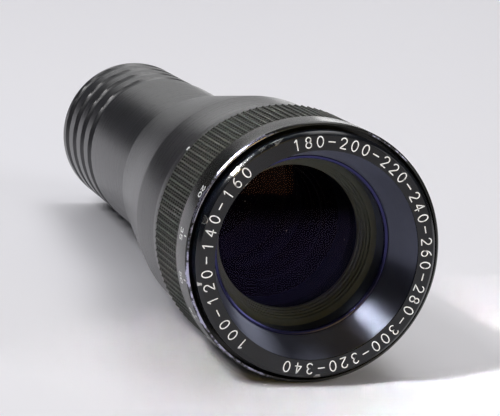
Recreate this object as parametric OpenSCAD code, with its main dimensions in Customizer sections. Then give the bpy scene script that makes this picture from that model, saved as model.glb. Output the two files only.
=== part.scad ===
// Zoom lens for a slide projector: a grooved rear barrel, a tapered body, a knurled zoom ring
// that turns a slotted cam tube, and a front group and an inner group that the cam slides.
// The optical axis is the Y axis, the front looks towards -Y, and the origin is the centre of the
// barrel where it leaves the body's shoulder. The solids are drawn along +Z, from the barrel's rear
// face at 0, and laid down last.

/* [Rear barrel] */
// Outer radius of the barrel that slides into the projector
barrel_r = 26.2; // [24:0.1:28]
// Length of the barrel behind the body
barrel_len = 100.5; // [90:0.5:120]
// Wall of the barrel
barrel_wall = 2.8; // [2.4:0.1:3.6]
// Bevel round the barrel's rear rim
rim_bevel = 0.6; // [0.3:0.1:1]
// Length of the barrel's spigot inside the body
spigot_len = 10; // [6:0.5:14]
// Step from the barrel down to its spigot
spigot_step = 0.7; // [0.4:0.1:1.2]

/* [Focusing groove] */
// Pitch of the helical groove that the projector's focusing peg follows
groove_pitch = 11.5; // [9:0.5:14]
// Width of the groove at the barrel's surface
groove_w = 5.6; // [4:0.2:7]
// Depth of the groove
groove_depth = 1.2; // [0.6:0.1:1.6]
// Distance from the rear face to the middle of the groove's front end
groove_reach = 47.5; // [35:0.5:60]
// How far the grooved stretch is turned below the plain seat
groove_relief = 0.35; // [0.3:0.05:0.6]
// Relieved stretch left in front of the groove
relief_margin = 0.6; // [0.4:0.1:2]

/* [Body] */
// Step from the barrel out to the body's rear shoulder
shoulder_step = 2.5; // [1.5:0.1:4]
// Bevel round the shoulder
shoulder_bevel = 0.8; // [0.4:0.1:1.2]
// Length of the tapered part of the body
taper_len = 46.8; // [40:0.2:60]
// Length of the straight part of the body, up to the fine line
straight_len = 23.2; // [18:0.2:32]
// Wall of the straight part outside the cam tube's bore
body_wall = 2.8; // [2.2:0.1:4]
// Bevel between the straight part and the taper
body_bevel = 0.5; // [0.2:0.1:1]
// Width of the fine line turned in the body behind the index band
line_w = 0.5; // [0.3:0.1:1]
// Depth of that line
line_depth = 0.8; // [0.4:0.1:1.2]
// Width of the index band, which carries the index mark
index_w = 4.7; // [3:0.1:7]
// Height of the index band above the body
index_step = 1.1; // [0.5:0.1:1.6]
// Radius of the drilled index mark
mark_r = 0.7; // [0.4:0.1:1]
// Depth of the index mark
mark_depth = 0.2; // [0.1:0.05:0.4]
// Turn of the index mark from the top, towards the left as seen from the front
mark_turn = 50; // [0:5:90]
// Length of the seat that the zoom ring turns on
seat_len = 9.3; // [7:0.1:12]
// Wall of that seat
seat_wall = 1.5; // [1.2:0.1:2]

/* [Guide tube and cam tube] */
// Wall of the guide tube
guide_wall = 1.55; // [1.3:0.05:2]
// Length of the guide tube's seat in the body
guide_seat_len = 14; // [10:0.5:16]
// Wall of the body round that seat, at least
guide_seat_wall = 1.8; // [1.2:0.1:2.4]
// Wall of the cam tube
cam_wall = 1.44; // [1.3:0.02:2]
// Thickness of the cam tube's flange
flange_w = 4; // [3.4:0.1:4.6]
// Length of the cam tube in front of its flange
cam_nose = 1.1; // [0.8:0.1:2]
// Length of the cam tube behind its rearmost slots
cam_tail = 5.7; // [4:0.1:8]
// Width of every slot
slot_w = 4; // [3.8:0.1:4.6]
// Thickness of the ring that traps the cam tube
trap_w = 3.2; // [2:0.1:4]
// Height of the trap ring above the guide tube
trap_step = 2.5; // [2:0.1:2.7]

/* [Zoom] */
// Turn of the zoom ring from its shortest to its longest focal length, in degrees
zoom_turn = 85; // [60:1:90]
// Way that the front group slides out over that turn
front_travel = 12; // [8:0.5:12]
// Way that the inner group slides back over that turn
variator_travel = 9; // [6:0.5:9]
// Followers round each group
follower_count = 3; // [2:1:3]

/* [Zoom ring] */
// Width of the gripped part of the ring
grip_w = 23.7; // [20:0.1:26]
// Width of the smooth scale band in front of the grip
band_w = 10.1; // [8:0.1:12]
// Height of the scale band above the zoom ring's grip seat
band_step = 2; // [1.6:0.1:2.4]
// Wall of the zoom ring between its grip seat and the body's seat
ring_wall = 1.44; // [1.3:0.02:2]
// Ribs round the grip
rib_count = 118; // [100:2:130]
// Height of a rib
rib_h = 0.6; // [0.4:0.1:0.8]
// Height of the ribs' tops below the scale band
rib_drop = 0.1; // [0:0.05:0.3]
// Bevel round the front rim of the scale band
band_bevel = 0.6; // [0.3:0.1:1]
// Depth of the ring's open mouth
mouth_depth = 7.8; // [5:0.1:9]
// Gap between the name ring and the mouth's wall
mouth_gap = 1.25; // [0.7:0.05:1.3]
// Radius of a drive screw's thread
screw_r = 1; // [0.8:0.05:1.2]
// Radius of a drive screw's head
screw_head_r = 1.8; // [1.5:0.1:2]
// Height of a drive screw's head
screw_head_h = 0.7; // [0.5:0.1:1]

/* [Front group] */
// Radius of the front glasses
glass_r = 25.8; // [25:0.05:28]
// Wall of the front cell round its glasses
cell_wall = 3.75; // [3.4:0.05:4.4]
// Step from the glasses' bore out to the retaining ring's thread
thread_step = 0.7; // [0.4:0.05:0.8]
// Height of the cell's head above its sliding part
head_step = 1.8; // [1.2:0.1:2.2]
// Length of the cell's head
head_len = 15.9; // [14:0.1:18]
// Length of the sliding part of the front cell
slide_len = 32; // [28:0.5:34]
// Depth of the grooved cone behind the name ring
cone_depth = 13.4; // [10:0.1:14]
// Radial width of the cone
cone_step = 3.65; // [3:0.05:4]
// Height of the name ring's face above the cone's wide end
ring_lip = 0.6; // [0.4:0.1:1]
// Radial width of the name ring's flat face and bevel
face_w = 5.4; // [4.5:0.1:5.6]
// Bevel round the name ring's face
face_bevel = 0.9; // [0.5:0.1:1.2]
// Thickness of the name ring's flange
name_w = 4.5; // [3:0.1:6]
// Way that the name ring stands out of the zoom ring at the shortest focal length
name_stand = 3.2; // [2:0.1:5]
// Radial width of the front retaining ring
retainer_w = 1.15; // [1:0.05:1.5]
// Thickness of the front retaining ring
retainer_h = 1.6; // [1.2:0.1:2]
// Edge thickness of the front glass
front_edge = 4.5; // [4:0.1:6]
// Rise of the front glass's outer face
front_rise = 2.9; // [2:0.1:3.4]
// Hollow of the front glass's inner face
front_hollow = 2; // [1.5:0.1:2.4]
// Length of the stepped spacer between the front glass and the cemented pair
spacer_h = 7.6; // [6:0.1:8]
// Steps in the spacer's bore, which keep glare out of the picture
spacer_steps = 5; // [3:1:7]
// Radial height of all the spacer's steps together
spacer_rise = 2.6; // [1.5:0.1:3]
// Edge thickness of the crown glass of the cemented pair
crown_edge = 3; // [2.5:0.1:4]
// Rise of the crown glass's outer face
crown_rise = 3; // [2.4:0.1:3.1]
// Rise of the cemented face
cement_rise = 3.6; // [3:0.1:3.8]
// Edge thickness of the flint glass
flint_edge = 7; // [6.5:0.1:8]
// Hollow of the flint glass's inner face
flint_hollow = 1; // [0.6:0.1:1.4]
// Pitch of the glare grooves in the front cell's bore
glare_pitch = 1.6; // [1.2:0.1:2]
// Glare grooves in the front cell's bore
glare_count = 4; // [3:1:5]
// Depth of a glare groove
glare_depth = 0.6; // [0.4:0.1:0.8]

/* [Inner group] */
// Radius of the inner group's glasses
inner_glass_r = 21; // [19:0.1:22]
// Wall of the inner cell round its glasses
inner_wall = 2.8; // [2.4:0.1:3.4]
// Length of the inner cell's sliding collar
collar_len = 6.2; // [5.8:0.1:6.6]
// Length of the inner cell behind its collar
inner_tail = 15.8; // [14.5:0.1:17]
// Gap between the front cell and the inner cell at the shortest focal length
group_gap = 1.5; // [1:0.1:3]
// Depth of the inner retaining ring's front face in the cell
inner_sink = 0.5; // [0.2:0.1:1]
// Thickness of the inner retaining ring
inner_retainer_h = 2; // [1.4:0.1:2.4]
// Seat left under a glass's edge by every inner retaining ring, spacer and shoulder
seat_land = 1.4; // [1:0.1:1.8]
// Edge thickness of the hollow glass
hollow_edge = 7.6; // [7:0.1:8.4]
// Hollow of its front face
hollow_front = 2.3; // [1.8:0.1:2.5]
// Hollow of its rear face
hollow_rear = 2.9; // [2.7:0.1:3.1]
// Thickness of the spacer behind it
inner_spacer_h = 1.9; // [1.6:0.1:2.4]
// Edge thickness of the meniscus glass
meniscus_edge = 3; // [2.6:0.1:3.6]
// Rise of its front face
meniscus_rise = 2.7; // [2.2:0.1:3]
// Hollow of its rear face
meniscus_hollow = 1.4; // [1:0.1:1.6]

/* [Followers] */
// Radius of a follower's roller
roller_r = 1.8; // [1.7:0.02:1.84]
// Wall of a roller
roller_wall = 0.7; // [0.5:0.05:0.8]
// Distance from the cell's end to its followers
follower_inset = 3.1; // [2.9:0.1:3.3]
// Depth of a follower screw's thread in the cell
thread_depth = 2.8; // [2:0.1:3]
// Height of a follower screw's head
follower_head_h = 0.55; // [0.4:0.05:0.6]

/* [Rear group] */
// Depth of the rear cell's end inside the barrel
rear_sink = 12; // [8:0.5:16]
// Length of the rear cell
rear_cell_len = 46; // [40:0.5:52]
// Wall of the rear cell round its glasses
rear_wall = 2.8; // [2.4:0.1:3.4]
// Depth of the rear retaining ring in the cell
rear_ring_sink = 0.6; // [0.4:0.1:1.5]
// Thickness of the rear retaining ring
rear_ring_h = 2.2; // [1.6:0.1:3]
// Edge thickness of the rear glass
rear_edge = 4; // [3.5:0.1:5]
// Rise of the rear glass's outer face
rear_rise = 2.4; // [1.8:0.1:2.6]
// Rise of the rear glass's inner face
rear_inner_rise = 1.2; // [0.8:0.1:1.6]
// Length of the spacer tube between the rear glasses
rear_spacer_len = 19; // [16:0.5:22]
// Edge thickness of the second rear glass
second_edge = 4.5; // [4:0.1:5.5]
// Rise of the second rear glass's front face
second_rise = 2.2; // [1.6:0.1:2.6]
// Hollow of the second rear glass's rear face
second_hollow = 1; // [0.6:0.1:1.4]
// Distance from the barrel's front end to the light stop
stop_inset = 20; // [16:0.5:26]
// Thickness of the light stop
stop_w = 2; // [1.5:0.1:3]
// Radial width of the light stop
stop_rim = 5.4; // [4.5:0.1:7]

/* [Fits] */
// Radial gap of a cell that slides in the guide tube
slide_gap = 0.05; // [0.03:0.01:0.08]
// Radial gap of a part that turns on another
turn_gap = 0.06; // [0.04:0.01:0.08]
// Gap between a moving part and what it passes or faces
free_gap = 0.3; // [0.25:0.01:0.35]
// Gap round a glass in its cell
glass_gap = 0.05; // [0.03:0.01:0.06]
// Wide gap round the name ring and its skirt
skirt_gap = 0.7; // [0.5:0.05:0.9]

/* [Hidden] */
$fn = 96;
// facets of the glasses' faces and of the grip's bore
glass_fn = 360;
// overrun of every cut past the face that it opens
over = 1;
// steps of the groove round a turn and at its run-out, of a slot along its way and of its round end
turn_steps = 24;
fade_steps = 3;
slot_steps = 16;
end_steps = 4;
arc_steps = 6;
// angle at which the focusing groove starts, and the half angle of a slot's round end
groove_start = 5;
end_angle = 84;

// radii, from the front glass outwards
cell_bore_r = glass_r + glass_gap;
thread_bore_r = cell_bore_r + thread_step;
cell_r = cell_bore_r + cell_wall;
guide_bore_r = cell_r + slide_gap;
guide_r = guide_bore_r + guide_wall;
cam_bore_r = guide_r + turn_gap;
cam_r = cam_bore_r + cam_wall;
shell_bore_r = cam_r + free_gap;
seat_r = shell_bore_r + seat_wall;
body_r = shell_bore_r + body_wall;
index_r = body_r + index_step;
ring_bore_r = seat_r + turn_gap;
// the cam's flange is a little smaller than the ring's bore, so that it passes through it
flange_r = ring_bore_r - 2 * turn_gap;
grip_seat_r = ring_bore_r + ring_wall;
band_r = grip_seat_r + band_step;
trap_r = guide_r + trap_step;
nose_bore_r = trap_r + free_gap;
head_r = cell_r + head_step;
cone_r = thread_bore_r + cone_step;
face_r = cone_r + face_w;
skirt_r = nose_bore_r - skirt_gap / 2;
mouth_r = face_r + mouth_gap;
// the drive screws' heads lie just under the grip
screw_top_r = sqrt(grip_seat_r * grip_seat_r - screw_head_r * screw_head_r) - turn_gap;
retainer_r = thread_bore_r - retainer_w;
front_land_r = glass_r - seat_land;

// radii at the rear
bore_r = barrel_r - barrel_wall;
relief_r = barrel_r - groove_relief;
spigot_r = barrel_r - spigot_step;
throat_r = barrel_r + spigot_step;
rear_bore_r = bore_r - rear_wall;
rear_glass_r = rear_bore_r - glass_gap;

// places along the axis, from the rear face
taper_z = barrel_len + taper_len;
line_z = taper_z + straight_len;
index_z = line_z + line_w;
seat_z = index_z + index_w;
seat_end_z = seat_z + seat_len;
ring_z = seat_z + free_gap;
grip_end_z = ring_z + grip_w;
ring_end_z = grip_end_z + band_w;
mouth_z = ring_end_z - mouth_depth;
face_z = ring_end_z + name_stand;
flange_z = seat_end_z + free_gap;
flange_end_z = flange_z + flange_w;
cam_end_z = flange_end_z + cam_nose;
trap_z = cam_end_z + free_gap;
guide_end_z = trap_z + trap_w;
cone_top_z = face_z - ring_lip;
head_z = cone_top_z - head_len;
cone_z = cone_top_z - cone_depth;
front_cell_z = head_z - slide_len;
throat_z = barrel_len + spigot_len;
relief_z = groove_reach + groove_w / 2 + relief_margin;

// the front glasses, from the retaining ring back
retainer_z = cone_z - retainer_h;
front_glass_z = retainer_z - front_edge;
spacer_z = front_glass_z - spacer_h;
crown_z = spacer_z - crown_edge;
flint_z = crown_z - flint_edge;

// the inner group, from its front end back
inner_front_z = front_cell_z - group_gap;
collar_z = inner_front_z - collar_len;
inner_z = collar_z - inner_tail;
inner_bore_r = inner_glass_r + glass_gap;
inner_r = inner_bore_r + inner_wall;
inner_land_r = inner_glass_r - seat_land;
inner_retainer_z = inner_front_z - inner_sink - inner_retainer_h;
hollow_z = inner_retainer_z - hollow_edge;
inner_spacer_z = hollow_z - inner_spacer_h;
meniscus_z = inner_spacer_z - meniscus_edge;

// the rear group, from the rear forwards
rear_cell_z = rear_sink;
rear_ring_z = rear_cell_z + rear_ring_sink;
rear_glass_z = rear_ring_z + rear_ring_h;
rear_spacer_z = rear_glass_z + rear_edge;
second_z = rear_spacer_z + rear_spacer_len;
second_end_z = second_z + second_edge;
rear_cell_end_z = rear_cell_z + rear_cell_len;
rear_land_r = rear_glass_r - seat_land;
stop_z = barrel_len - stop_inset;

// followers and their slots
front_follower_z = front_cell_z + follower_inset;
inner_follower_z = inner_front_z - follower_inset;
slot_r = slot_w / 2;
cam_z = inner_follower_z - variator_travel - slot_r - cam_tail;
guide_seat_z = cam_z - free_gap;
guide_z = guide_seat_z - guide_seat_len;
inner_turn = 180 / follower_count;
roller_foot_r = cell_r + turn_gap;
follower_top_r = cam_r - turn_gap;
roller_top_r = follower_top_r - follower_head_h - turn_gap;
roller_bore_r = roller_r - roller_wall;
pin_r = roller_bore_r - turn_gap;

// the shoulder is wide enough to leave a wall between the taper and the guide tube's seat
guide_share = (guide_z - barrel_len) / taper_len;
least_shoulder_r = (guide_r + guide_seat_wall - guide_share * body_r) / (1 - guide_share);
shoulder_r = max(barrel_r + shoulder_step, least_shoulder_r);
taper_slope = (body_r - shoulder_r) / taper_len;

// a ring or tube between two radii and two heights
module tube(r_out, r_in, z0, z1) {
    difference() {
        translate([0, 0, z0]) cylinder(r = r_out, h = z1 - z0);
        translate([0, 0, z0 - over]) cylinder(r = r_in, h = z1 - z0 + 2 * over);
    }
}

// a solid turned from an outline of [radius, height] points
module turned(outline) {
    rotate_extrude() polygon(outline);
}

// copies of a shape round the axis, the first at the given turn
module around(count, first = 0) {
    for (i = [0 : count - 1]) rotate([0, 0, first + i * 360 / count]) children();
}

// a round bar that points away from the axis, between two radii
module spoke(r, r0, r1, z) {
    translate([r0, 0, z]) rotate([0, 90, 0]) cylinder(r = r, h = r1 - r0);
}

// the radius of the sphere whose cap has this edge radius and this height
function cap_radius(edge, rise) = (edge * edge + rise * rise) / (2 * rise);

// a glass: front_bulge and rear_bulge are the faces' heights at the radius land, below 0 if hollow,
// and a hollow face keeps a flat rim outside that radius
module glass(r, land, z0, z1, front_bulge, rear_bulge) {
    front_r = cap_radius(land, abs(front_bulge));
    rear_r = cap_radius(land, abs(rear_bulge));
    z_low = rear_bulge > 0 ? z0 - rear_bulge - over : z0;
    z_high = front_bulge > 0 ? z1 + front_bulge + over : z1;
    difference() {
        intersection() {
            translate([0, 0, z_low]) cylinder(r = r, h = z_high - z_low, $fn = glass_fn);
            if (front_bulge > 0) ball(front_r, z1 + front_bulge - front_r);
            if (rear_bulge > 0) ball(rear_r, z0 - rear_bulge + rear_r);
        }
        if (front_bulge < 0) ball(front_r, z1 + front_bulge + front_r);
        if (rear_bulge < 0) ball(rear_r, z0 - rear_bulge - rear_r);
    }
}

// the sphere of a glass's face, with its middle on the axis
module ball(r, z) {
    translate([0, 0, z]) sphere(r = r, $fn = glass_fn);
}

// a closed skin over rings of points, each ring with as many points as the first
module skin(rings) {
    n = len(rings);
    m = len(rings[0]);
    sides = [for (i = [0 : n - 2], j = [0 : m - 1]) let (k = (j + 1) % m)
        each [[i * m + j, i * m + k, (i + 1) * m + k], [i * m + j, (i + 1) * m + k, (i + 1) * m + j]]];
    first = [for (j = [1 : m - 2]) [0, j + 1, j]];
    last = [for (j = [1 : m - 2]) [(n - 1) * m, (n - 1) * m + j, (n - 1) * m + j + 1]];
    polyhedron(points = [for (ring = rings) each ring], faces = concat(sides, first, last));
}

function polar(r, a, z) = [r * cos(a), r * sin(a), z];

// the cutter of the focusing groove: a round-bottomed profile carried along a right-hand helix
groove_turns = (groove_reach + groove_w) / groove_pitch;
groove_steps = ceil(groove_turns * turn_steps);
groove_arc_r = cap_radius(groove_w / 2, groove_depth);
// the cut's arc goes on above the barrel's surface, by this share of its depth
rise_share = 0.5;
groove_rise = rise_share * groove_depth;
groove_half = acos(1 - (groove_depth + groove_rise) / groove_arc_r);
// outline of the cut as [radius, place along the axis from its middle]
groove_outline = [for (i = [0 : arc_steps]) let (b = groove_half * (2 * i / arc_steps - 1))
    [relief_r - groove_depth + groove_arc_r * (1 - cos(b)), groove_arc_r * sin(b)]];
// one section of the cut, at a share of its way from the front end to past the rear face
function groove_ring(share, lift) =
    let (a = groove_start - groove_turns * 360 * share, z = groove_reach - (groove_reach + groove_w) * share)
    [for (p = groove_outline) polar(p[0] + lift, a, z + p[1])];
// the cut rises out of the surface over the first steps, so that the groove runs out at its front end
module groove_cutter() {
    skin([for (i = [0 : groove_steps])
        groove_ring(i / groove_steps, (groove_depth + groove_rise) * max(0, 1 - i / fade_steps))]);
}

// places along a slot: its round end, its length and its other round end, as [way, half width]
function slot_stations(way) = concat(
    [for (i = [end_steps : -1 : 1]) let (b = end_angle * i / end_steps) [-slot_r * sin(b), slot_r * cos(b)]],
    [for (i = [0 : slot_steps]) [way * i / slot_steps, slot_r]],
    [for (i = [1 : end_steps]) let (b = end_angle * i / end_steps) [way + slot_r * sin(b), slot_r * cos(b)]]
);

// the cutter of a cam slot that climbs from z by rise over a turn, counted on the cam's outside
module cam_slot_cutter(z, rise) {
    arc = cam_r * zoom_turn * PI / 180;
    way = sqrt(arc * arc + rise * rise);
    along = arc / way;
    up = rise / way;
    skin([for (s = slot_stations(way))
        let (x0 = s[0] * along + s[1] * up, z0 = z + s[0] * up - s[1] * along,
             x1 = s[0] * along - s[1] * up, z1 = z + s[0] * up + s[1] * along,
             a0 = x0 / cam_r * 180 / PI, a1 = x1 / cam_r * 180 / PI)
        [polar(cam_bore_r - over, a1, z1), polar(cam_bore_r - over, a0, z0),
         polar(cam_r + over, a0, z0), polar(cam_r + over, a1, z1)]]);
}

// the cutter of a straight slot in the guide tube, between two middles of its round ends
module guide_slot_cutter(z0, z1) {
    translate([guide_bore_r - over, -slot_r, z0]) cube([guide_wall + 2 * over, slot_w, z1 - z0]);
    spoke(slot_r, guide_bore_r - over, guide_r + over, z0);
    spoke(slot_r, guide_bore_r - over, guide_r + over, z1);
}

// the fixed parts

module rear_barrel() {
    color("#2b2b2d") difference() {
        turned([
            [bore_r, 0], [relief_r - rim_bevel, 0], [relief_r, rim_bevel], [relief_r, relief_z],
            [barrel_r, relief_z], [barrel_r, barrel_len],
            [spigot_r, barrel_len], [spigot_r, throat_z], [bore_r, throat_z]
        ]);
        groove_cutter();
    }
}

module body_shell() {
    color("#37373a") difference() {
        turned([
            [spigot_r, barrel_len], [shoulder_r - shoulder_bevel, barrel_len],
            [shoulder_r + taper_slope * shoulder_bevel, barrel_len + shoulder_bevel],
            [body_r - taper_slope * body_bevel, taper_z - body_bevel], [body_r, taper_z + body_bevel],
            [body_r, line_z], [body_r - line_depth, line_z], [body_r - line_depth, index_z],
            [index_r, index_z], [index_r, seat_z], [seat_r, seat_z], [seat_r, seat_end_z],
            [shell_bore_r, seat_end_z], [shell_bore_r, guide_seat_z], [guide_r, guide_seat_z],
            [guide_r, guide_z], [guide_bore_r, guide_z], [throat_r, throat_z], [spigot_r, throat_z]
        ]);
        rotate([0, 0, 90 + mark_turn])
            spoke(mark_r, index_r - mark_depth, index_r + over, (index_z + seat_z) / 2);
    }
}

module guide_tube() {
    color("#8d8f92") difference() {
        tube(guide_r, guide_bore_r, guide_z, guide_end_z);
        around(follower_count) guide_slot_cutter(front_follower_z, front_follower_z + front_travel);
        around(follower_count, inner_turn)
            guide_slot_cutter(inner_follower_z - variator_travel, inner_follower_z);
    }
}

module cam_trap_ring() {
    color("#6d6e70") tube(trap_r, guide_r, trap_z, guide_end_z);
}

module light_stop() {
    color("#1b1b1c") tube(bore_r, bore_r - stop_rim, stop_z, stop_z + stop_w);
}

module rear_cell() {
    color("#1f1f21") turned([
        [rear_bore_r, rear_cell_z], [bore_r, rear_cell_z], [bore_r, rear_cell_end_z],
        [rear_land_r, rear_cell_end_z], [rear_land_r, second_end_z], [rear_bore_r, second_end_z]
    ]);
}

module rear_retaining_ring() {
    color("#29292c") tube(rear_bore_r, rear_land_r, rear_ring_z, rear_glass_z);
}

module rear_glass() {
    color("#7aa4c8", 0.5)
        glass(rear_glass_r, rear_land_r, rear_glass_z, rear_spacer_z, rear_inner_rise, rear_rise);
}

module rear_spacer() {
    color("#29292c") tube(rear_bore_r, rear_land_r, rear_spacer_z, second_z);
}

module second_rear_glass() {
    color("#7aa4c8", 0.5)
        glass(rear_glass_r, rear_land_r, second_z, second_end_z, second_rise, -second_hollow);
}

// the parts that turn with the zoom ring

module zoom_ring() {
    color("#3a3b3f") difference() {
        turned([
            [ring_bore_r, ring_z], [grip_seat_r, ring_z], [grip_seat_r, grip_end_z], [band_r, grip_end_z],
            [band_r, ring_end_z - band_bevel], [band_r - band_bevel, ring_end_z], [mouth_r, ring_end_z],
            [mouth_r, mouth_z], [nose_bore_r, mouth_z], [nose_bore_r, flange_end_z],
            [flange_r, flange_end_z], [flange_r, flange_z], [ring_bore_r, flange_z]
        ]);
        around(follower_count) screw(screw_r, screw_head_r, grip_seat_r + over);
    }
}

module grip_band() {
    pitch = 360 / rib_count;
    top_r = band_r - rib_drop;
    root_r = top_r - rib_h;
    // a rib's foot and crown as shares of its pitch, on each side of its middle
    foot_share = 0.31;
    crown_share = 0.17;
    color("#45463f") translate([0, 0, ring_z]) linear_extrude(height = grip_w) difference() {
        polygon([for (i = [0 : rib_count - 1]) each [
            root_r * [cos(pitch * (i - foot_share)), sin(pitch * (i - foot_share))],
            top_r * [cos(pitch * (i - crown_share)), sin(pitch * (i - crown_share))],
            top_r * [cos(pitch * (i + crown_share)), sin(pitch * (i + crown_share))],
            root_r * [cos(pitch * (i + foot_share)), sin(pitch * (i + foot_share))]
        ]]);
        circle(r = grip_seat_r, $fn = glass_fn);
    }
}

module cam_tube() {
    color("#9b8a5a") difference() {
        union() {
            tube(cam_r, cam_bore_r, cam_z, cam_end_z);
            tube(flange_r, cam_bore_r, flange_z, flange_end_z);
        }
        around(follower_count) cam_slot_cutter(front_follower_z, front_travel);
        around(follower_count, inner_turn) cam_slot_cutter(inner_follower_z, -variator_travel);
        around(follower_count) screw(screw_r, screw_r, grip_seat_r);
    }
}

// a drive screw in its hole, seen from above the ring's outside
module screw(thread_r, head_r, top_r) {
    z = (flange_z + flange_end_z) / 2;
    rotate([0, 0, -inner_turn / 2]) {
        spoke(thread_r, cam_bore_r + turn_gap, screw_top_r, z);
        spoke(head_r, screw_top_r - screw_head_h, top_r, z);
    }
}

module drive_screws() {
    color("#b9b9b4") around(follower_count) screw(screw_r, screw_head_r, screw_top_r);
}

// the parts that slide with the front group

module name_ring() {
    color("#17181a") turned([
        [cone_r, face_z], [face_r - face_bevel, face_z], [face_r, face_z - face_bevel],
        [face_r, face_z - name_w], [skirt_r, face_z - name_w], [skirt_r, head_z], [head_r, head_z],
        [head_r, cone_top_z], [cone_r, cone_top_z]
    ]);
}

// the notched bore behind the front glasses, as [radius, height] points from the front back
glare_notches = [for (i = [0 : glare_count - 1]) each [
    [front_land_r, flint_z - glare_pitch * (i + 1) + glare_depth],
    [front_land_r + glare_depth, flint_z - glare_pitch * (i + 1)],
    [front_land_r, flint_z - glare_pitch * (i + 1)]
]];

module front_cell() {
    color("#23242a") difference() {
        turned(concat(
            [[front_land_r, front_cell_z], [cell_r, front_cell_z], [cell_r, head_z], [head_r, head_z],
             [head_r, cone_top_z], [cone_r, cone_top_z], [thread_bore_r, cone_z],
             [thread_bore_r, retainer_z], [cell_bore_r, retainer_z], [cell_bore_r, flint_z]],
            [[front_land_r, flint_z]], glare_notches
        ));
        around(follower_count) spoke(pin_r, cell_r - thread_depth, cell_r + over, front_follower_z);
    }
}

module front_retaining_ring() {
    color("#3f3c66") tube(thread_bore_r, retainer_r, retainer_z, cone_z);
}

module front_glass() {
    color("#6f6a8c", 0.5)
        glass(glass_r, retainer_r, front_glass_z, retainer_z, front_rise, -front_hollow);
}

// the height of a glass's bulge at a radius, over its height at the edge
function cap_height(edge, rise, r) =
    let (ball_r = cap_radius(edge, rise)) sqrt(ball_r * ball_r - r * r) - ball_r + rise;

// the stepped bore of the spacer starts clear of the crown glass's bulge
spacer_lip_z = spacer_z + cap_height(front_land_r, crown_rise, front_land_r - spacer_rise) + free_gap;
spacer_step_h = (front_glass_z - spacer_lip_z) / spacer_steps;
// its outline, as [radius, height] points from the back to the front
spacer_bore = [for (i = [0 : spacer_steps - 1]) each [
    [front_land_r - spacer_rise * (1 - i / spacer_steps), spacer_lip_z + spacer_step_h * i],
    [front_land_r - spacer_rise * (1 - i / spacer_steps), spacer_lip_z + spacer_step_h * (i + 1)]
]];

module front_spacer() {
    color("#29292c") turned(concat(
        [[cell_bore_r, front_glass_z], [cell_bore_r, spacer_z], [front_land_r, spacer_z],
         [front_land_r, spacer_lip_z]], spacer_bore
    ));
}

module crown_glass() {
    color("#7aa4c8", 0.5) glass(glass_r, front_land_r, crown_z, spacer_z, crown_rise, cement_rise);
}

module flint_glass() {
    color("#8fae8a", 0.5) glass(glass_r, front_land_r, flint_z, crown_z, -cement_rise, -flint_hollow);
}

// rollers that run in the guide tube's and the cam tube's slots
module rollers(z) {
    difference() {
        spoke(roller_r, roller_foot_r, roller_top_r, z);
        spoke(roller_bore_r, roller_foot_r - over, roller_top_r + over, z);
    }
}

// the shouldered screw that holds a roller on its cell
module roller_screw(z) {
    spoke(pin_r, cell_r - thread_depth, follower_top_r, z);
    spoke(roller_r, follower_top_r - follower_head_h, follower_top_r, z);
}

module front_rollers() {
    color("#c9a94d") around(follower_count) rollers(front_follower_z);
}

module front_roller_screws() {
    color("#b9b9b4") around(follower_count) roller_screw(front_follower_z);
}

// the parts that slide with the inner group

module inner_cell() {
    color("#23242a") difference() {
        turned([
            [inner_bore_r, inner_front_z], [cell_r, inner_front_z], [cell_r, collar_z],
            [inner_r, collar_z], [inner_r, inner_z], [inner_land_r, inner_z],
            [inner_land_r, meniscus_z], [inner_bore_r, meniscus_z]
        ]);
        around(follower_count, inner_turn)
            spoke(pin_r, cell_r - thread_depth, cell_r + over, inner_follower_z);
    }
}

module inner_retaining_ring() {
    color("#29292c")
        tube(inner_bore_r, inner_land_r, inner_retainer_z, inner_retainer_z + inner_retainer_h);
}

module hollow_glass() {
    color("#8fae8a", 0.5)
        glass(inner_glass_r, inner_land_r, hollow_z, inner_retainer_z, -hollow_front, -hollow_rear);
}

module inner_spacer() {
    color("#29292c") tube(inner_bore_r, inner_land_r, inner_spacer_z, hollow_z);
}

module meniscus_glass() {
    color("#7aa4c8", 0.5)
        glass(inner_glass_r, inner_land_r, meniscus_z, inner_spacer_z, meniscus_rise, -meniscus_hollow);
}

module inner_rollers() {
    color("#c9a94d") around(follower_count, inner_turn) rollers(inner_follower_z);
}

module inner_roller_screws() {
    color("#b9b9b4") around(follower_count, inner_turn) roller_screw(inner_follower_z);
}

// lays a part down with the lens's front towards -Y and the body's shoulder at the origin
module laid() {
    rotate([90, 0, 0]) translate([0, 0, -barrel_len]) children();
}

laid() rear_barrel();
laid() body_shell();
laid() guide_tube();
laid() cam_trap_ring();
laid() light_stop();
laid() rear_cell();
laid() rear_retaining_ring();
laid() rear_glass();
laid() rear_spacer();
laid() second_rear_glass();
laid() zoom_ring();
laid() grip_band();
laid() cam_tube();
laid() drive_screws();
laid() name_ring();
laid() front_cell();
laid() front_retaining_ring();
laid() front_glass();
laid() front_spacer();
laid() crown_glass();
laid() flint_glass();
laid() front_rollers();
laid() front_roller_screws();
laid() inner_cell();
laid() inner_retaining_ring();
laid() hollow_glass();
laid() inner_spacer();
laid() meniscus_glass();
laid() inner_rollers();
laid() inner_roller_screws();
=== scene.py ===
"""Zoom lens for a slide projector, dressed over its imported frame.

The lens lies on its side with its front towards -Y. Every piece is worked out in lens space: a radius
from the optical axis, an angle round it (0 to the right and 90 up, seen from the front) and a station,
which is the distance forwards from the barrel's rear face. Lens space is in millimetres.
"""
import logging
import math
from collections.abc import Callable, Iterable
from dataclasses import dataclass
from enum import Enum
from typing import NamedTuple

import bpy
import numpy as np
from mathutils import Matrix, Vector


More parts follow.
